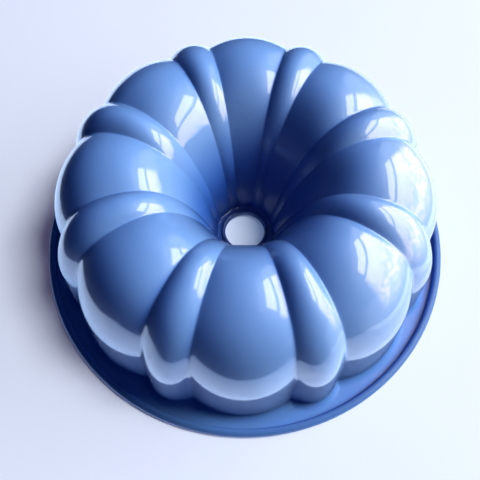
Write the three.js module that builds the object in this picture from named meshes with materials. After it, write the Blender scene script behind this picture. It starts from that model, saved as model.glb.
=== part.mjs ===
// Fluted tube pan, standing on its rim with the crown of the flutes up.
// Millimetres. The pan's axis is Z, the face that rests on the table is z = 0, and a wide lobe faces -Y.
import * as THREE from 'three';

// Flutes
const lobePairs = 8;
const wideLobeAngle = 30;
const wideLobeSteps = 6;
const narrowLobeSteps = 4;

// Sheet and rim
const sheetThickness = 0.9;
const rimDiameter = 250;
const rimRollDiameter = 4.6;
const rimRollTurn = 290;
const rimRollSteps = 9;
const flangeWidth = 11.3;
const footFillet = 5;
const footFilletSteps = 3;
const wireClearance = 0.3;
const wireSides = 8;
const wireSteps = 80;

// Crest of a wide lobe, from the foot of the wall over the crown and down to the tube's mouth
const panHeight = 87;
const crownSetback = 46.3;
const wallDraft = 6;
const wallTopHeight = 38;
const shoulderRise = 16;
const shoulderReach = 29;
const browReach = 24.5;
const funnelFlare = 7.5;
const funnelRise = 42.5;
const mouthLedgeRadius = 17.4;
const mouthHeight = 4;
const mouthFillet = 1.2;
const mouthFilletSteps = 2;
const shoulderSteps = 9;
const funnelSteps = 10;

// Crease between two lobes, as depths below the crest of a wide lobe
const creaseFootDepth = 6;
const creaseCrownDepth = 5.1;
const creaseCrownShift = 0.9;
const creaseBrowReach = 26.5;
const creaseFunnelFlare = 8.8;
const creaseMouthDepth = 1;

// Crest of a narrow lobe, as the share of the wide lobe's height over the crease
const narrowShareAtFoot = 1;
const narrowShareAtCrown = 0.95;
const narrowShareAtMouth = 0.6;

// Ferrule round the tube's mouth
const tubeBore = 25.2;
const ferruleWall = 1;
const ferruleClearance = 0.3;
const ferruleLipWidth = 2.2;
const ferruleLipHeight = 1.3;
const ferruleLipSteps = 6;
const ferruleFlangeWidth = 2.6;
const ferruleSteps = 48;

// Sizes that follow from those above
const rimRadius = rimDiameter / 2;
const rollRadius = rimRollDiameter / 2;
const rollCentre = new THREE.Vector2(rimRadius - rollRadius, rollRadius);
const rollBore = rollRadius - sheetThickness;
const wallFoot = rimRadius - flangeWidth;
const footHeight = sheetThickness + footFillet;
const wallSlope = Math.tan(THREE.MathUtils.degToRad(wallDraft));
const crownRadius = wallFoot - crownSetback;
const boreRadius = tubeBore / 2;
const mouthRadius = boreRadius + ferruleWall + ferruleClearance;
const funnelFoot = mouthHeight + mouthFillet;

// Finishes
const blueGloss = new THREE.MeshStandardMaterial({ color: 0x4b73be, roughness: 0.25, metalness: 0.3 });
const bareSteel = new THREE.MeshStandardMaterial({ color: 0xb4b6b9, roughness: 0.4, metalness: 1 });

// A profile runs up the drafted wall, over the shoulder to the crown, and down the funnel.
function profile({ foot, crown, height, brow, flare, mouth }) {
  const wallTop = foot - wallSlope * (wallTopHeight - footHeight);
  const riseEnd = wallTop - wallSlope * shoulderRise;
  const riseHeight = wallTopHeight + shoulderRise;
  const shoulder = new THREE.Path();
  shoulder.moveTo(wallTop, wallTopHeight);
  shoulder.bezierCurveTo(riseEnd, riseHeight, crown + shoulderReach, height, crown, height);
  const funnel = new THREE.Path();
  funnel.moveTo(crown, height);
  funnel.bezierCurveTo(crown - brow, height, mouth + flare, funnelFoot + funnelRise, mouth, funnelFoot);
  return [
    new THREE.Vector2(foot, footHeight),
    ...shoulder.getPoints(shoulderSteps),
    ...funnel.getPoints(funnelSteps).slice(1),
  ];
}

const wideCrest = profile({
  foot: wallFoot,
  crown: crownRadius,
  height: panHeight,
  brow: browReach,
  flare: funnelFlare,
  mouth: mouthLedgeRadius,
});

const crease = profile({
  foot: wallFoot - creaseFootDepth,
  crown: crownRadius - creaseCrownShift,
  height: panHeight - creaseCrownDepth,
  brow: creaseBrowReach,
  flare: creaseFunnelFlare,
  mouth: mouthLedgeRadius + creaseMouthDepth,
});

const narrowCrest = crease.map((point, i) => {
  const crownIndex = crease.length - 1 - funnelSteps;
  const pastCrown = Math.max(0, i - crownIndex) / funnelSteps;
  const beforeCrown = Math.min(1, i / crownIndex);
  const share = pastCrown > 0
    ? THREE.MathUtils.lerp(narrowShareAtCrown, narrowShareAtMouth, pastCrown)
    : THREE.MathUtils.lerp(narrowShareAtFoot, narrowShareAtCrown, beforeCrown);
  return point.clone().lerp(wideCrest[i], share);
});

// Stations round the pan: each has an angle from -Y and a profile between the crease and a crest.
function lobeStations(centre, halfAngle, steps, crest) {
  return Array.from({ length: steps }, (_, i) => {
    const across = -1 + (2 * i) / steps;
    const swell = 1 - across * across;
    return {
      angle: THREE.MathUtils.degToRad(centre + across * halfAngle),
      line: crease.map((point, k) => point.clone().lerp(crest[k], swell)),
    };
  });
}

function panStations() {
  const pitch = 360 / lobePairs;
  const stations = [];
  for (let pair = 0; pair < lobePairs; pair += 1) {
    const centre = pair * pitch;
    stations.push(...lobeStations(centre, wideLobeAngle / 2, wideLobeSteps, wideCrest));
    stations.push(...lobeStations(centre + pitch / 2, (pitch - wideLobeAngle) / 2, narrowLobeSteps, narrowCrest));
  }
  return stations;
}

// The outside of the sheet in one station: roll, flange, foot fillet, wall, crown, funnel and ledge.
function outsideOfSheet(line) {
  const roll = new THREE.Path();
  const turn = THREE.MathUtils.degToRad(rimRollTurn);
  roll.absarc(rollCentre.x, rollCentre.y, rollBore, turn - Math.PI / 2, -Math.PI / 2, true);
  const fillet = new THREE.Path();
  fillet.absarc(line[0].x + footFillet, footHeight, footFillet, -Math.PI / 2, -Math.PI, true);
  const ledge = new THREE.Path();
  ledge.absarc(line.at(-1).x - mouthFillet, funnelFoot, mouthFillet, 0, -Math.PI / 2, true);
  return [
    ...roll.getSpacedPoints(rimRollSteps),
    ...fillet.getSpacedPoints(footFilletSteps).slice(0, -1),
    ...line,
    ...ledge.getSpacedPoints(mouthFilletSteps).slice(1),
    new THREE.Vector2(mouthRadius, mouthHeight),
  ];
}

// The other face of the sheet lies one thickness away, with mitred corners.
function otherFace(points) {
  return points.map((point, i) => {
    const before = points[Math.max(0, i - 1)];
    const after = points[Math.min(points.length - 1, i + 1)];
    const into = i > 0 ? point.clone().sub(before).normalize() : after.clone().sub(point).normalize();
    const out = i < points.length - 1 ? after.clone().sub(point).normalize() : into;
    const mitre = into.clone().add(out).normalize();
    const reach = sheetThickness / mitre.dot(out);
    return new THREE.Vector2(point.x - mitre.y * reach, point.y + mitre.x * reach);
  });
}

// A closed ring of closed sections, one section for each station.
function ringGeometry(sections, angles) {
  const count = sections[0].length;
  const positions = [];
  const faces = [];
  sections.forEach((section, s) => {
    const next = (s + 1) % sections.length;
    section.forEach((point, k) => {
      const after = (k + 1) % count;
      positions.push(point.x * Math.sin(angles[s]), -point.x * Math.cos(angles[s]), point.y);
      const corners = [s * count + k, next * count + k, next * count + after, s * count + after];
      faces.push(corners[0], corners[1], corners[2], corners[0], corners[2], corners[3]);
    });
  });
  const geometry = new THREE.BufferGeometry();
  geometry.setAttribute('position', new THREE.Float32BufferAttribute(positions, 3));
  geometry.setIndex(faces);
  geometry.computeVertexNormals();
  return geometry;
}

function flutedShell() {
  const stations = panStations();
  const sections = stations.map(({ line }) => {
    const outside = outsideOfSheet(line);
    return [...outside, ...otherFace(outside).reverse()];
  });
  return ringGeometry(sections, stations.map(({ angle }) => angle));
}

function rimWire() {
  return new THREE.TorusGeometry(rollCentre.x, rollBore - wireClearance, wireSides, wireSteps);
}

// The ferrule's barrel passes through the mouth: a round lip above the ledge, a clinched flange below.
function tubeFerrule() {
  const lipFoot = mouthHeight + ferruleClearance;
  const flangeTop = mouthHeight - sheetThickness - ferruleClearance;
  const flangeFoot = flangeTop - ferruleWall;
  const flangeRadius = boreRadius + ferruleFlangeWidth;
  const barrelRadius = boreRadius + ferruleWall;
  const lipCentre = boreRadius + ferruleLipWidth / 2;
  const section = new THREE.Path();
  section.moveTo(boreRadius, flangeFoot);
  section.lineTo(flangeRadius, flangeFoot);
  section.lineTo(flangeRadius, flangeTop);
  section.lineTo(barrelRadius, flangeTop);
  section.lineTo(barrelRadius, lipFoot);
  section.lineTo(boreRadius + ferruleLipWidth, lipFoot);
  section.absellipse(lipCentre, lipFoot, ferruleLipWidth / 2, ferruleLipHeight, 0, Math.PI, false, 0);
  section.lineTo(boreRadius, flangeFoot);
  const geometry = new THREE.LatheGeometry(section.getPoints(ferruleLipSteps), ferruleSteps);
  return geometry.rotateX(Math.PI / 2);
}

function piece(name, geometry, material) {
  const mesh = new THREE.Mesh(geometry, material);
  mesh.name = name;
  return mesh;
}

const pan = new THREE.Group();
const wire = piece('rim_wire', rimWire(), bareSteel);
wire.position.z = rollCentre.y;
pan.add(piece('fluted_shell', flutedShell(), blueGloss), wire, piece('tube_ferrule', tubeFerrule(), blueGloss));

export default pan;
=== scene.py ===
import math

import bmesh
import bpy
from mathutils import Matrix, Vector


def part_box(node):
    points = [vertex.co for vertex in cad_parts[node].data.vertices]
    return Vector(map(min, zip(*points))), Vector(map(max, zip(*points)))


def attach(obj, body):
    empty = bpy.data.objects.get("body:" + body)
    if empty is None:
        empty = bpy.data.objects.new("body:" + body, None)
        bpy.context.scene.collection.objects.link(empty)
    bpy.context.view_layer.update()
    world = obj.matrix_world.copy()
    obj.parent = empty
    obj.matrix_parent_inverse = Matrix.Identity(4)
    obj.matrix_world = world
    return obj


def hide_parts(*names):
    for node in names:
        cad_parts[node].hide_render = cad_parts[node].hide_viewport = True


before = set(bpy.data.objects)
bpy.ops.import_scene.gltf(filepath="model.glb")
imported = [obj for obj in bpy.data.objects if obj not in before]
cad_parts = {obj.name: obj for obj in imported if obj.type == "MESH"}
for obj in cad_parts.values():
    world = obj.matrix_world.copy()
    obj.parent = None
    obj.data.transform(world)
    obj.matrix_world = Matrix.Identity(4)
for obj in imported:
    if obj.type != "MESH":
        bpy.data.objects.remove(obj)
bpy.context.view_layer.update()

# Sizes are in metres, in the frame's own axes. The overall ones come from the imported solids.
SHELL_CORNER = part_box("fluted_shell")[1]
FERRULE_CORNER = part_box("tube_ferrule")[1]
RIM_RADIUS = SHELL_CORNER.x
PAN_HEIGHT = SHELL_CORNER.z

# Flutes
LOBE_PAIRS = 8
LOBE_PITCH = math.radians(360 / LOBE_PAIRS)
WIDE_HALF_ANGLE = math.radians(15)
NARROW_HALF_ANGLE = LOBE_PITCH / 2 - WIDE_HALF_ANGLE
WIDE_STEPS = 28
NARROW_STEPS = 20
CREASE_SHARPNESS = 14

# Sheet, flange and rolled rim
SHEET = 0.0009
SHEET_CORNER_ANGLE = math.radians(50)
ROLL_RADIUS = 0.0023
ROLL_BORE = ROLL_RADIUS - SHEET
ROLL_MIDDLE = RIM_RADIUS - ROLL_RADIUS
ROLL_TURN = math.radians(290)
ROLL_STEPS = 24
FLANGE_WIDTH = 0.0113
FOOT_FILLET = 0.005
FOOT_STEPS = 9
WALL_FOOT = RIM_RADIUS - FLANGE_WIDTH
FOOT_HEIGHT = SHEET + FOOT_FILLET

# Ferrule round the tube's mouth
FERRULE_WALL = 0.001
FERRULE_GAP = 0.0003
FERRULE_FLANGE = 0.0026
FERRULE_STEPS = 96
FERRULE_CORNER_ANGLE = math.radians(40)
LIP_WIDTH = 0.0022
LIP_HEIGHT = 0.0013
LIP_STEPS = 18
BORE_RADIUS = FERRULE_CORNER.x - FERRULE_FLANGE
MOUTH_HEIGHT = FERRULE_CORNER.z - LIP_HEIGHT - FERRULE_GAP
LEDGE_EDGE = BORE_RADIUS + FERRULE_WALL + FERRULE_GAP

# Crest of a wide lobe
CROWN_SETBACK = 0.0463
CROWN_RADIUS = WALL_FOOT - CROWN_SETBACK
WALL_DRAFT = math.radians(6)
WALL_TOP = 0.038
SHOULDER_RISE = 0.016
SHOULDER_REACH = 0.029
BROW_REACH = 0.0245
FUNNEL_FLARE = 0.0075
FUNNEL_RISE = 0.0425
MOUTH_RADIUS = 0.0174
MOUTH_FILLET = 0.0012
MOUTH_STEPS = 6
FUNNEL_FOOT = MOUTH_HEIGHT + MOUTH_FILLET
WALL_STEPS = 8
SHOULDER_STEPS = 36
FUNNEL_STEPS = 44
OUTER_STEPS = WALL_STEPS + SHOULDER_STEPS

# Crease between lobes
CREASE_FOOT_DEPTH = 0.006
CREASE_CROWN_DEPTH = 0.0051
CREASE_CROWN_SHIFT = 0.0009
CREASE_BROW_REACH = 0.0265
CREASE_FLARE = 0.0088
CREASE_MOUTH_DEPTH = 0.001

# Narrow crest, as a share of the wide one's height over the crease
NARROW_AT_FOOT = 1.0
NARROW_AT_CROWN = 0.95
NARROW_AT_MOUTH = 0.6

# Camera, at the photograph's height and side
CAMERA_AIM = Vector((-0.0031, -0.0046, 0))
CAMERA_AZIMUTH = math.radians(1.0)
CAMERA_ELEVATION = math.radians(65.7)
CAMERA_DISTANCE = 0.349
CAMERA_LENS = 40.5
CAMERA_SENSOR = 36

# Enamel: its tones, its gloss, and the scales and shares of its flakes and waves
BLUE_DEEP = (0.135, 0.285, 0.65, 1)
BLUE_FLAKE = (0.175, 0.335, 0.735, 1)
BLUE_WAVE_HEIGHT = 0.00004
FERRULE_DEEP = (0.06, 0.16, 0.46, 1)
FERRULE_FLAKE = (0.09, 0.21, 0.55, 1)
FERRULE_WAVE_HEIGHT = 0.00003
ENAMEL_IOR = 1.65
ENAMEL_ROUGHNESS = 0.48
COAT_IOR = 1.7
COAT_ROUGHNESS = 0.065
DRIFT_SCALE = 18.0
FLAKE_SCALE = 2600.0
WAVE_SCALE = 70.0
PEEL_SCALE = 900.0
DRIFT_SHARE = 0.6
FLAKE_SHARE = 0.4
PEEL_SHARE = 0.02
SPARKLE = 0.1
NOISE_MIDDLE = 0.5

# Painted shade: the enamel's colour is darker down the funnel, on the flange and on the bead. The clear
# coat is thinner on the flange and bead.
FUNNEL_SHADE_COLOUR = (0.048, 0.172, 0.58, 1)
FUNNEL_TOP_RADIUS = 0.042
FUNNEL_DEEP_RADIUS = 0.022
FLANGE_SHADE_COLOUR = (0.085, 0.212, 0.575, 1)
FLANGE_TOP = 0.012
FLANGE_FACE = 0.005
FLANGE_FROM_RADIUS = 0.080
FLANGE_TO_RADIUS = 0.100
BEAD_SHADE_COLOUR = (0.057, 0.148, 0.405, 1)
BEAD_FROM_RADIUS = ROLL_MIDDLE - ROLL_RADIUS
THIN_COAT = 0.08

# Smears from hands and cloths
SMEAR_FROM = 0.48
SMEAR_TO = 0.72
ENAMEL_SMEAR = 0.08
ENAMEL_SMEAR_SCALE = 45.0

# Rim wire
WIRE_DARK = (0.32, 0.33, 0.34, 1)
WIRE_PALE = (0.55, 0.56, 0.57, 1)
WIRE_GRAIN_SCALE = 700.0
WIRE_ROUGHNESS = 0.35
WIRE_SMEAR = 0.2
WIRE_SMEAR_SCALE = 160.0

# Table: the pale top, its dimmer near edge, and its shaded part under the pan as the gloss shows it
TABLE_LOW = Vector((-0.205, -0.205, 0))
TABLE_HIGH = Vector((0.195, 0.280, 0))
TABLE_DIM_FROM = -0.150
TABLE_COLOUR = (0.835, 0.882, 0.97, 1)
TABLE_EDGE_COLOUR = (0.50, 0.60, 0.78, 1)
TABLE_SHADE_UNDER_PAN = (0.22, 0.27, 0.36, 1)
TABLE_ROUGHNESS = 0.9
TABLE_SPECULAR = 0.1

# Light added to the table, as the camera sees it, as the gloss sees it, and under the hollow of the pan
TABLE_LIFT = (0.055, 0.038, 0.034, 1)
TABLE_LIFT_IN_MOUTH = (0.08, 0.12, 0.19, 1)
TABLE_LIFT_IN_GLOSS = (0.42, 0.68, 1.15, 1)
TABLE_LIFT_BY_WINDOW = (0.15, 0.18, 0.25, 1)
TABLE_BY_WINDOW_FROM = 0.03
TABLE_BY_WINDOW_TO = 0.15
TABLE_UNDER_GLOW = (0.62, 0.66, 0.72, 1)
UNDER_GLOW_FROM = 0.018
UNDER_GLOW_TO = 0.108
UNDER_GLOW_EDGE = 0.004

# Lamps on the window's side: watts, and how many bounces their light takes part in
DAYLIGHT = (0.92, 0.95, 1.0)
LOW_SUN = (1.0, 0.87, 0.42)
HIGH_SKY = (0.53, 0.67, 1.0)
WHITE = (1.0, 1.0, 1.0)
SKY_ON_TABLE = dict(place=(1.25, 0.12, 2.16), size=(0.8, 0.8), power=53)
GLOW_ON_TABLE = dict(place=(2.65, 0.3, 1.41), size=(4.5, 2.4), power=68)
LOW_SUN_ON_PAN = dict(place=(2.157, 0.189, 1.25), size=(1.1, 1.1), power=74)
HIGH_SKY_ON_PAN = dict(place=(1.715, 0.428, 1.768), size=(1.1, 1.1), power=74)
TABLE_BOUNCES = 8
PAN_BOUNCES = 0

# The window as the gloss shows it: corners in depth and height, soft edges, and brightness.
# Each pane stands a step behind the one before, because lamps in one plane hide each other.
WINDOW_X = 0.155
PANE_STEP = 0.001
PANE_HIGH = dict(low=(-0.11, 0.20), high=(0.13, 0.29), soft_sides=0.02, soft_foot=0.012, brightness=5.6)
PANE_LOW = dict(low=(-0.13, 0.03), high=(0.13, 0.187), soft_sides=0.035, soft_foot=0.05, brightness=5.6)
PANE_FAR = dict(low=(0.02, 0.108), high=(0.135, 0.187), soft_sides=0.02, soft_foot=0.012, brightness=1.2)
SILL_BOARD = dict(low=(-0.25, 0.0), high=(0.2, 0.1), soft_sides=0.1, soft_foot=0.005, brightness=0.7)
SIDE_CURTAIN = dict(low=(-0.30, -0.05), high=(0.45, 0.45), soft_sides=0.22, soft_foot=0.2, brightness=0.45)
BACK_CURTAIN = dict(low=(0.10, 0.02), high=(0.40, 0.26), soft_sides=0.12, soft_foot=0.12, brightness=0.7)
SKY = (1.0, 0.89, 0.64, 1)
LOW_SKY = (1.0, 0.82, 0.44, 1)
LEAVES = (0.34, 0.33, 0.34, 1)
BLOSSOM = (0.95, 0.60, 0.26, 1)
SILL = (0.75, 0.85, 1.0, 1)
CURTAIN = (0.80, 0.80, 0.72, 1)
GARDEN_SCALE = 85.0
GARDEN_TOP = 0.16
GARDEN_FOOT = 0.09
LEAF_FROM = 0.40
LEAF_TO = 0.60

# A pane's colour where it is mirrored from one part of the pan onto another
PANE_SEEN_TWICE = (0.28, 0.52, 0.90, 1)
SEEN_TWICE_DEPTH = 2.5

# Room: the world's colours, and the spans of direction over which one gives way to the next
ROOM = (0.002, 0.010, 0.065, 1)
ROOM_WINDOW_SIDE = (0.045, 0.11, 0.25, 1)
ROOM_IN_GLOSS = (0.004, 0.006, 0.012, 1)
BACK_WALL_IN_GLOSS = (0.03, 0.07, 0.12, 1)
BACKDROP = (0.82, 0.86, 0.93, 1)
WINDOW_SIDE_SPAN = (-0.2, 0.8)
BACK_WALL_SPAN = (-0.1, 0.7)
BACK_WALL_RISE = (0.0, 0.4)


def bezier(start, pull_start, pull_end, end, steps):
    points = []
    for i in range(steps + 1):
        t = i / steps
        s = 1 - t
        points.append(start * s**3 + pull_start * 3 * s * s * t + pull_end * 3 * s * t * t + end * t**3)
    return points


def lobe_line(foot, crown, height, brow, flare, mouth):
    """Radius and height along a lobe: up the wall to the crown, then down the funnel to the mouth."""
    lean = math.tan(WALL_DRAFT)
    start = Vector((foot, FOOT_HEIGHT))
    wall_top = Vector((foot - lean * (WALL_TOP - FOOT_HEIGHT), WALL_TOP))
    top = Vector((crown, height))
    wall = [start.lerp(wall_top, i / WALL_STEPS) for i in range(WALL_STEPS)]
    shoulder = bezier(
        wall_top,
        wall_top + Vector((-lean, 1)) * SHOULDER_RISE,
        Vector((crown + SHOULDER_REACH, height)),
        top,
        SHOULDER_STEPS,
    )
    funnel = bezier(
        top,
        Vector((crown - brow, height)),
        Vector((mouth + flare, FUNNEL_FOOT + FUNNEL_RISE)),
        Vector((mouth, FUNNEL_FOOT)),
        FUNNEL_STEPS,
    )
    return wall + shoulder + funnel[1:]


def narrow_share(i):
    """The narrow crest's share of the wide one at a point along the lobe."""
    if i <= OUTER_STEPS:
        return NARROW_AT_FOOT + (NARROW_AT_CROWN - NARROW_AT_FOOT) * i / OUTER_STEPS
    past = (i - OUTER_STEPS) / FUNNEL_STEPS
    return NARROW_AT_CROWN + (NARROW_AT_MOUTH - NARROW_AT_CROWN) * past


def swell(angle, narrow):
    """Height over the crease at an angle, as a share of the wide crest, rounded where two lobes meet."""
    turn = (angle + LOBE_PITCH / 2) % LOBE_PITCH - LOBE_PITCH / 2
    wide_part = 1 - (turn / WIDE_HALF_ANGLE) ** 2
    narrow_part = narrow * (1 - ((LOBE_PITCH / 2 - abs(turn)) / NARROW_HALF_ANGLE) ** 2)
    high, low = max(wide_part, narrow_part), min(wide_part, narrow_part)
    return high + math.log1p(math.exp((low - high) * CREASE_SHARPNESS)) / CREASE_SHARPNESS


def station_angles():
    """Angles round the pan from -Y, closer together at the creases."""
    angles = []
    for pair in range(LOBE_PAIRS):
        for centre, half, steps in (
            (pair * LOBE_PITCH, WIDE_HALF_ANGLE, WIDE_STEPS),
            ((pair + 0.5) * LOBE_PITCH, NARROW_HALF_ANGLE, NARROW_STEPS),
        ):
            angles += [centre - half * math.cos(math.pi * i / steps) for i in range(steps)]
    return angles


def arc(centre, radius, start, end, steps):
    turns = [start + (end - start) * i / steps for i in range(steps + 1)]
    return [Vector((centre.x + radius * math.cos(a), centre.y + radius * math.sin(a))) for a in turns]


def outside_of_sheet(line):
    """The visible face in one station: roll, flange, foot, wall, crown, funnel and ledge."""
    roll_centre = Vector((ROLL_MIDDLE, ROLL_RADIUS))
    roll = arc(roll_centre, ROLL_BORE, ROLL_TURN - math.pi / 2, -math.pi / 2, ROLL_STEPS)
    foot_centre = Vector((line[0].x + FOOT_FILLET, FOOT_HEIGHT))
    foot = arc(foot_centre, FOOT_FILLET, -math.pi / 2, -math.pi, FOOT_STEPS)
    ledge_centre = Vector((line[-1].x - MOUTH_FILLET, FUNNEL_FOOT))
    ledge = arc(ledge_centre, MOUTH_FILLET, 0, -math.pi / 2, MOUTH_STEPS)
    return roll + foot[:-1] + line + ledge[1:] + [Vector((LEDGE_EDGE, MOUTH_HEIGHT))]


def other_face(points):
    """The same line one sheet thickness away, with mitred corners."""
    moved = []
    last = len(points) - 1
    for i, point in enumerate(points):
        into = (point - points[i - 1]).normalized() if i else (points[1] - point).normalized()
        out = (points[i + 1] - point).normalized() if i < last else into
        mitre = (into + out).normalized()
        reach = SHEET / mitre.dot(out)
        moved.append(Vector((point.x - mitre.y * reach, point.y + mitre.x * reach)))
    return moved


def ring_object(name, sections, angles):
    """A closed ring of closed sections, one for each angle."""
    mesh = bmesh.new()
    rings = []
    for section, angle in zip(sections, angles):
        side, front = math.sin(angle), -math.cos(angle)
        rings.append([mesh.verts.new((p.x * side, p.x * front, p.y)) for p in section])
    count = len(rings[0])
    for ring, following in zip(rings, rings[1:] + rings[:1]):
        for k in range(count):
            n = (k + 1) % count
            mesh.faces.new((ring[k], following[k], following[n], ring[n]))
    for face in mesh.faces:
        face.smooth = True
    data = bpy.data.meshes.new(name)
    mesh.to_mesh(data)
    mesh.free()
    thing = bpy.data.objects.new(name, data)
    bpy.context.scene.collection.objects.link(thing)
    return thing


def soften_edges(thing, corner_angle):
    """Smooth shading that stays crisp on corners sharper than the angle."""
    bpy.context.view_layer.objects.active = thing
    thing.select_set(True)
    bpy.ops.object.shade_smooth_by_angle(angle=corner_angle)
    thing.select_set(False)


def make_shell():
    wide = lobe_line(WALL_FOOT, CROWN_RADIUS, PAN_HEIGHT, BROW_REACH, FUNNEL_FLARE, MOUTH_RADIUS)
    crease = lobe_line(
        WALL_FOOT - CREASE_FOOT_DEPTH,
        CROWN_RADIUS - CREASE_CROWN_SHIFT,
        PAN_HEIGHT - CREASE_CROWN_DEPTH,
        CREASE_BROW_REACH,
        CREASE_FLARE,
        MOUTH_RADIUS + CREASE_MOUTH_DEPTH,
    )
    shares = [narrow_share(i) for i in range(len(wide))]
    angles = station_angles()
    sections = []
    for angle in angles:
        line = [c.lerp(w, swell(angle, s)) for c, w, s in zip(crease, wide, shares)]
        outside = outside_of_sheet(line)
        sections.append(outside + other_face(outside)[::-1])
    shell = ring_object("shell_skin", sections, angles)
    soften_edges(shell, SHEET_CORNER_ANGLE)
    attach(shell, "root")
    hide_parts("fluted_shell")
    return shell


def make_ferrule():
    """The eyelet in the tube's mouth: a round lip above the ledge, a clinched flange below it."""
    lip_foot = MOUTH_HEIGHT + FERRULE_GAP
    flange_top = MOUTH_HEIGHT - SHEET - FERRULE_GAP
    flange_foot = flange_top - FERRULE_WALL
    barrel = BORE_RADIUS + FERRULE_WALL
    flange = BORE_RADIUS + FERRULE_FLANGE
    section = [
        Vector((BORE_RADIUS, flange_foot)),
        Vector((flange, flange_foot)),
        Vector((flange, flange_top)),
        Vector((barrel, flange_top)),
        Vector((barrel, lip_foot)),
    ]
    for i in range(LIP_STEPS + 1):
        turn = math.pi * i / LIP_STEPS
        across = BORE_RADIUS + LIP_WIDTH / 2 * (1 + math.cos(turn))
        section.append(Vector((across, lip_foot + LIP_HEIGHT * math.sin(turn))))
    angles = [2 * math.pi * i / FERRULE_STEPS for i in range(FERRULE_STEPS)]
    ferrule = ring_object("mouth_ferrule", [section] * FERRULE_STEPS, angles)
    soften_edges(ferrule, FERRULE_CORNER_ANGLE)
    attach(ferrule, "root")
    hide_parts("tube_ferrule")
    return ferrule


def make_camera():
    data = bpy.data.cameras.new("view")
    data.lens = CAMERA_LENS
    data.sensor_width = CAMERA_SENSOR
    camera = bpy.data.objects.new("view", data)
    bpy.context.scene.collection.objects.link(camera)
    turn = Matrix.Rotation(CAMERA_AZIMUTH, 4, "Z")
    back = turn @ Vector((0, -math.cos(CAMERA_ELEVATION), math.sin(CAMERA_ELEVATION)))
    camera.location = turn @ CAMERA_AIM + back * CAMERA_DISTANCE
    camera.rotation_euler = (math.pi / 2 - CAMERA_ELEVATION, 0, CAMERA_AZIMUTH)
    bpy.context.scene.camera = camera


def new_material(name):
    material = bpy.data.materials.new(name)
    material.use_nodes = True
    return material, material.node_tree


def new_group(name, inputs, outputs):
    """A shader node group with named sockets: inputs carry (kind, default), outputs carry a kind."""
    group = bpy.data.node_groups.new(name, "ShaderNodeTree")
    for label, (kind, value) in inputs.items():
        socket = group.interface.new_socket(label, in_out="INPUT", socket_type=kind)
        socket.default_value = value
    for label, kind in outputs.items():
        group.interface.new_socket(label, in_out="OUTPUT", socket_type=kind)
    start = group.nodes.new("NodeGroupInput")
    end = group.nodes.new("NodeGroupOutput")
    return group, start.outputs, end.inputs


def place_group(tree, group, **values):
    node = tree.nodes.new("ShaderNodeGroup")
    node.node_tree = group
    for label, value in values.items():
        node.inputs[label.replace("_", " ")].default_value = value
    return node


def plug(tree, value, socket):
    """Links another node's output to a socket, or sets a plain number or colour on it."""
    if isinstance(value, bpy.types.NodeSocket):
        tree.links.new(value, socket)
    else:
        socket.default_value = value


def maths(tree, operation, first, second):
    node = tree.nodes.new("ShaderNodeMath")
    node.operation = operation
    plug(tree, first, node.inputs[0])
    plug(tree, second, node.inputs[1])
    return node.outputs[0]


def noise(tree, place, scale, detail, roughness=0.5):
    node = tree.nodes.new("ShaderNodeTexNoise")
    plug(tree, place, node.inputs["Vector"])
    plug(tree, scale, node.inputs["Scale"])
    node.inputs["Detail"].default_value = detail
    node.inputs["Roughness"].default_value = roughness
    return node.outputs["Fac"]


def blend(tree, share, first, second):
    node = tree.nodes.new("ShaderNodeMix")
    node.data_type = "RGBA"
    plug(tree, share, node.inputs["Factor"])
    plug(tree, first, node.inputs["A"])
    plug(tree, second, node.inputs["B"])
    return node.outputs["Result"]


def fade(tree, value, start, end):
    """A smooth rise from 0 at start to 1 at end."""
    node = tree.nodes.new("ShaderNodeMapRange")
    node.interpolation_type = "SMOOTHSTEP"
    plug(tree, value, node.inputs["Value"])
    node.inputs["From Min"].default_value = start
    node.inputs["From Max"].default_value = end
    return node.outputs["Result"]


def axis_distance(tree, x, y):
    """The distance from the pan's axis."""
    squares = maths(tree, "ADD", maths(tree, "POWER", x, 2), maths(tree, "POWER", y, 2))
    return maths(tree, "POWER", squares, 0.5)


def split(tree, vector):
    node = tree.nodes.new("ShaderNodeSeparateXYZ")
    tree.links.new(vector, node.inputs["Vector"])
    return node.outputs


def flake_enamel_group():
    """Blue enamel: a tone that drifts, fine flakes, and the soft wave of drawn sheet."""
    group, given, result = new_group(
        "flake_enamel",
        {
            "Deep Colour": ("NodeSocketColor", BLUE_DEEP),
            "Flake Colour": ("NodeSocketColor", BLUE_FLAKE),
            "Flake Scale": ("NodeSocketFloat", FLAKE_SCALE),
            "Wave Scale": ("NodeSocketFloat", WAVE_SCALE),
            "Roughness": ("NodeSocketFloat", ENAMEL_ROUGHNESS),
        },
        {"Colour": "NodeSocketColor", "Roughness": "NodeSocketFloat", "Height": "NodeSocketFloat"},
    )
    place = group.nodes.new("ShaderNodeTexCoord").outputs["Object"]
    drift = noise(group, place, DRIFT_SCALE, detail=3.0)
    flake = noise(group, place, given["Flake Scale"], detail=1.0)
    wave = noise(group, place, given["Wave Scale"], detail=1.0)
    peel = noise(group, place, PEEL_SCALE, detail=1.0)
    drift_part = maths(group, "MULTIPLY", drift, DRIFT_SHARE)
    share = maths(group, "ADD", drift_part, maths(group, "MULTIPLY", flake, FLAKE_SHARE))
    group.links.new(blend(group, share, given["Deep Colour"], given["Flake Colour"]), result["Colour"])
    sparkle = maths(group, "MULTIPLY", maths(group, "SUBTRACT", flake, NOISE_MIDDLE), SPARKLE)
    group.links.new(maths(group, "ADD", given["Roughness"], sparkle), result["Roughness"])
    group.links.new(maths(group, "ADD", wave, maths(group, "MULTIPLY", peel, PEEL_SHARE)), result["Height"])
    return group


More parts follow.
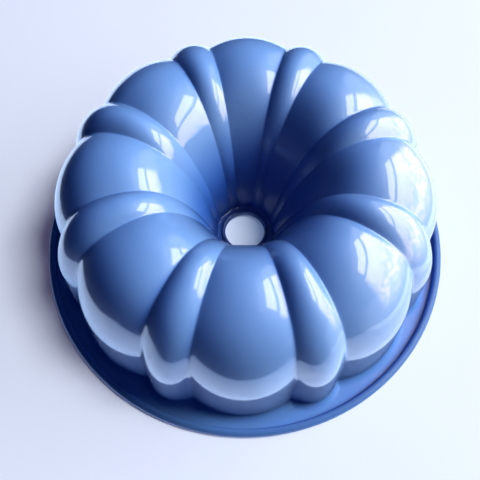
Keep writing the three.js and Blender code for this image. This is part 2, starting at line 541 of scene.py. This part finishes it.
def handling_marks_group():
    """Faint smears left by hands and cloths, as a value for roughness and for the clear coat."""
    group, given, result = new_group(
        "handling_marks",
        {
            "Roughness": ("NodeSocketFloat", ENAMEL_ROUGHNESS),
            "Amount": ("NodeSocketFloat", ENAMEL_SMEAR),
            "Mark Scale": ("NodeSocketFloat", ENAMEL_SMEAR_SCALE),
        },
        {"Roughness": "NodeSocketFloat", "Coat": "NodeSocketFloat"},
    )
    place = group.nodes.new("ShaderNodeTexCoord").outputs["Object"]
    smear = noise(group, place, given["Mark Scale"], detail=5.0, roughness=0.62)
    marked = maths(group, "MULTIPLY", fade(group, smear, SMEAR_FROM, SMEAR_TO), given["Amount"])
    group.links.new(maths(group, "ADD", given["Roughness"], marked), result["Roughness"])
    group.links.new(maths(group, "SUBTRACT", 1.0, marked), result["Coat"])
    return group


def enamel_material(name, groups, deep, flake, wave_height):
    material, tree = new_material(name)
    shader = tree.nodes["Principled BSDF"]
    enamel = place_group(tree, groups["enamel"], Deep_Colour=deep, Flake_Colour=flake)
    marks = place_group(tree, groups["marks"])
    tree.links.new(enamel.outputs["Colour"], shader.inputs["Base Color"])
    tree.links.new(enamel.outputs["Roughness"], marks.inputs["Roughness"])
    tree.links.new(marks.outputs["Roughness"], shader.inputs["Roughness"])
    tree.links.new(marks.outputs["Coat"], shader.inputs["Coat Weight"])
    bump = tree.nodes.new("ShaderNodeBump")
    bump.inputs["Strength"].default_value = 1.0
    bump.inputs["Distance"].default_value = wave_height
    tree.links.new(enamel.outputs["Height"], bump.inputs["Height"])
    tree.links.new(bump.outputs["Normal"], shader.inputs["Normal"])
    shader.inputs["IOR"].default_value = ENAMEL_IOR
    shader.inputs["Coat Roughness"].default_value = COAT_ROUGHNESS
    shader.inputs["Coat IOR"].default_value = COAT_IOR
    return material


def paint_rim_and_funnel_shade(material):
    """Paints shade into the enamel's colour in the funnel, on the flange and on the bead, and gives the
    last two less gloss.
    """
    tree = material.node_tree
    shader = tree.nodes["Principled BSDF"]
    colour = shader.inputs["Base Color"].links[0].from_socket
    coat = shader.inputs["Coat Weight"].links[0].from_socket
    x, y, z = split(tree, tree.nodes.new("ShaderNodeTexCoord").outputs["Object"])
    from_axis = axis_distance(tree, x, y)
    in_funnel = fade(tree, from_axis, FUNNEL_TOP_RADIUS, FUNNEL_DEEP_RADIUS)
    outside = fade(tree, from_axis, FLANGE_FROM_RADIUS, FLANGE_TO_RADIUS)
    on_flange = maths(tree, "MULTIPLY", outside, fade(tree, z, FLANGE_TOP, FLANGE_FACE))
    on_bead = fade(tree, from_axis, BEAD_FROM_RADIUS, ROLL_MIDDLE)
    # Painted shade: a darker colour on the flange and bead and down the funnel replaces the enamel's own
    # colour.
    rim_shade = blend(tree, on_bead, FLANGE_SHADE_COLOUR, BEAD_SHADE_COLOUR)
    tone = blend(tree, on_flange, blend(tree, in_funnel, colour, FUNNEL_SHADE_COLOUR), rim_shade)
    tree.links.new(tone, shader.inputs["Base Color"])
    dulled = maths(tree, "SUBTRACT", 1.0, maths(tree, "MULTIPLY", on_flange, 1.0 - THIN_COAT))
    tree.links.new(maths(tree, "MULTIPLY", coat, dulled), shader.inputs["Coat Weight"])


def wire_material(groups):
    material, tree = new_material("wire_steel")
    shader = tree.nodes["Principled BSDF"]
    place = tree.nodes.new("ShaderNodeTexCoord").outputs["Object"]
    drawn = noise(tree, place, WIRE_GRAIN_SCALE, detail=3.0)
    tree.links.new(blend(tree, drawn, WIRE_DARK, WIRE_PALE), shader.inputs["Base Color"])
    marks = place_group(
        tree, groups["marks"], Roughness=WIRE_ROUGHNESS, Amount=WIRE_SMEAR, Mark_Scale=WIRE_SMEAR_SCALE
    )
    tree.links.new(marks.outputs["Roughness"], shader.inputs["Roughness"])
    shader.inputs["Metallic"].default_value = 1
    return material


def table_material():
    """Pale paint, clear from underneath. Painted light: it glows a little for the camera, brighter and
    bluer where the tube's mouth shows it, in the gloss beyond the pan, and into the pan's hollow. Painted
    shade: the gloss sees it darker under the pan.
    """
    material, tree = new_material("table_paint")
    shader = tree.nodes["Principled BSDF"]
    geometry = tree.nodes.new("ShaderNodeNewGeometry").outputs
    ray = tree.nodes.new("ShaderNodeLightPath").outputs
    x, y, _ = split(tree, geometry["Position"])
    from_axis = axis_distance(tree, x, y)

    beyond = fade(tree, from_axis, WALL_FOOT, RIM_RADIUS)
    beyond_in_gloss = maths(tree, "MULTIPLY", beyond, ray["Is Glossy Ray"])
    under_in_gloss = maths(tree, "SUBTRACT", ray["Is Glossy Ray"], beyond_in_gloss)
    top = blend(tree, fade(tree, y, TABLE_LOW.y, TABLE_DIM_FROM), TABLE_EDGE_COLOUR, TABLE_COLOUR)
    # Painted shade: under the pan the gloss sees a darker table colour.
    tree.links.new(blend(tree, under_in_gloss, top, TABLE_SHADE_UNDER_PAN), shader.inputs["Base Color"])
    shader.inputs["Roughness"].default_value = TABLE_ROUGHNESS
    shader.inputs["Specular IOR Level"].default_value = TABLE_SPECULAR
    tree.links.new(maths(tree, "SUBTRACT", 1.0, geometry["Backfacing"]), shader.inputs["Alpha"])

    # Painted light: the table glows for the camera, in the gloss, through the tube's mouth and into the
    # pan's hollow.
    plain_lift = blend(tree, beyond, TABLE_LIFT_IN_MOUTH, TABLE_LIFT)
    by_window = fade(tree, x, TABLE_BY_WINDOW_FROM, TABLE_BY_WINDOW_TO)
    gloss_lift = blend(tree, by_window, TABLE_LIFT_IN_GLOSS, TABLE_LIFT_BY_WINDOW)
    lift = blend(tree, ray["Is Glossy Ray"], plain_lift, gloss_lift)
    past_tube = fade(tree, from_axis, UNDER_GLOW_FROM, UNDER_GLOW_FROM + UNDER_GLOW_EDGE)
    within_wall = fade(tree, from_axis, UNDER_GLOW_TO, UNDER_GLOW_TO - UNDER_GLOW_EDGE)
    inside = maths(tree, "MULTIPLY", past_tube, within_wall)
    hollow = maths(tree, "MULTIPLY", inside, ray["Is Diffuse Ray"])
    tree.links.new(blend(tree, hollow, lift, TABLE_UNDER_GLOW), shader.inputs["Emission Color"])
    seen = maths(tree, "MAXIMUM", ray["Is Camera Ray"], beyond_in_gloss)
    tree.links.new(maths(tree, "MAXIMUM", seen, hollow), shader.inputs["Emission Strength"])
    return material


def make_table():
    span = TABLE_HIGH - TABLE_LOW
    bpy.ops.mesh.primitive_plane_add(size=1, location=(TABLE_LOW + TABLE_HIGH) / 2)
    table = bpy.context.object
    table.name = "table"
    table.scale = (span.x, span.y, 1)
    table.data.materials.append(table_material())
    return table


def area_lamp(name, place, aim, size, power, colour):
    data = bpy.data.lights.new(name, "AREA")
    data.shape = "RECTANGLE"
    data.size, data.size_y = size
    data.energy = power
    data.color = colour
    lamp = bpy.data.objects.new(name, data)
    lamp.location = place
    lamp.rotation_euler = (Vector(aim) - Vector(place)).to_track_quat("-Z", "Y").to_euler()
    lamp.visible_camera = False
    bpy.context.scene.collection.objects.link(lamp)
    return lamp


def daylight(name, lit, colour, bounces, place, size, power):
    """Soft light from the window's side on the things it lights. It shows in no reflection."""
    lamp = area_lamp(name, place, (0, 0, 0), size, power, colour)
    lamp.visible_glossy = False
    lamp.data.cycles.max_bounces = bounces
    falls_on = bpy.data.collections.new(name + "_falls_on")
    for thing in lit:
        falls_on.objects.link(thing)
    lamp.light_linking.receiver_collection = falls_on


def garden_view(tree, point, height, sky):
    """Pale sky above, and a garden mottled with leaves and blossom lower down."""
    leaves = fade(tree, noise(tree, point, GARDEN_SCALE, detail=3.0), LEAF_FROM, LEAF_TO)
    lower_down = fade(tree, height, GARDEN_TOP, GARDEN_FOOT)
    return blend(tree, lower_down, sky, blend(tree, leaves, LEAVES, BLOSSOM))


def mirrored_pane(name, layer, colour, low, high, soft_sides, soft_foot, brightness, garden=False):
    """A pane of the window, or what hangs or stands by it, seen only in the gloss."""
    width, height = high[0] - low[0], high[1] - low[1]
    place = (WINDOW_X + layer * PANE_STEP, (low[0] + high[0]) / 2, (low[1] + high[1]) / 2)
    power = brightness * math.pi * width * height
    lamp = area_lamp(name, place, (0, *place[1:]), (width, height), power, WHITE)
    lamp.visible_diffuse = False
    lamp.data.use_nodes = True
    tree = lamp.data.node_tree
    glow = tree.nodes["Emission"]
    point = tree.nodes.new("ShaderNodeNewGeometry").outputs["Position"]
    _, y, z = split(tree, point)
    view = garden_view(tree, point, z, colour) if garden else colour
    depth = tree.nodes.new("ShaderNodeLightPath").outputs["Ray Depth"]
    seen_twice = maths(tree, "GREATER_THAN", depth, SEEN_TWICE_DEPTH)
    tree.links.new(blend(tree, seen_twice, view, PANE_SEEN_TWICE), glow.inputs["Color"])
    near_side = fade(tree, y, low[0], low[0] + soft_sides)
    far_side = fade(tree, y, high[0], high[0] - soft_sides)
    sides = maths(tree, "MULTIPLY", near_side, far_side)
    foot = fade(tree, z, low[1], low[1] + soft_foot)
    tree.links.new(maths(tree, "MULTIPLY", sides, foot), glow.inputs["Strength"])


def make_room():
    """A dim blue room with a pale backdrop. In the gloss it is darker, with a paler back wall."""
    world = bpy.data.worlds.new("room")
    bpy.context.scene.world = world
    world.use_nodes = True
    tree = world.node_tree
    back = tree.nodes["Background"]
    x, y, z = split(tree, tree.nodes.new("ShaderNodeTexCoord").outputs["Generated"])
    back_wall = maths(tree, "MULTIPLY", fade(tree, y, *BACK_WALL_SPAN), fade(tree, z, *BACK_WALL_RISE))
    mirrored = blend(tree, back_wall, ROOM_IN_GLOSS, BACK_WALL_IN_GLOSS)
    ray = tree.nodes.new("ShaderNodeLightPath").outputs
    plain = blend(tree, fade(tree, x, *WINDOW_SIDE_SPAN), ROOM, ROOM_WINDOW_SIDE)
    colour = blend(tree, ray["Is Glossy Ray"], plain, mirrored)
    tree.links.new(blend(tree, ray["Is Camera Ray"], colour, BACKDROP), back.inputs["Color"])


def make_light(table, pan):
    daylight("sky_on_table", [table], DAYLIGHT, TABLE_BOUNCES, **SKY_ON_TABLE)
    daylight("glow_on_table", [table], DAYLIGHT, TABLE_BOUNCES, **GLOW_ON_TABLE)
    daylight("low_sun_on_pan", pan, LOW_SUN, PAN_BOUNCES, **LOW_SUN_ON_PAN)
    daylight("high_sky_on_pan", pan, HIGH_SKY, PAN_BOUNCES, **HIGH_SKY_ON_PAN)
    mirrored_pane("pane_high", 0, SKY, **PANE_HIGH)
    mirrored_pane("pane_low", 1, LOW_SKY, **PANE_LOW, garden=True)
    mirrored_pane("pane_far", 2, LOW_SKY, **PANE_FAR)
    mirrored_pane("sill", 3, SILL, **SILL_BOARD)
    mirrored_pane("curtain", 4, CURTAIN, **SIDE_CURTAIN)
    mirrored_pane("back_curtain", 5, CURTAIN, **BACK_CURTAIN)


def main():
    bpy.context.scene.view_settings.view_transform = "Standard"
    make_camera()
    shell = make_shell()
    ferrule = make_ferrule()
    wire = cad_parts["rim_wire"]
    groups = {"enamel": flake_enamel_group(), "marks": handling_marks_group()}
    blue_coat = enamel_material("blue_coat", groups, BLUE_DEEP, BLUE_FLAKE, BLUE_WAVE_HEIGHT)
    # Painted shade in the funnel and on the flange and bead.
    paint_rim_and_funnel_shade(blue_coat)
    shell.data.materials.append(blue_coat)
    ferrule_coat = enamel_material("ferrule_coat", groups, FERRULE_DEEP, FERRULE_FLAKE, FERRULE_WAVE_HEIGHT)
    ferrule.data.materials.append(ferrule_coat)
    wire.data.materials.clear()
    wire.data.materials.append(wire_material(groups))
    table = make_table()
    make_room()
    make_light(table, [shell, ferrule, wire])


main()
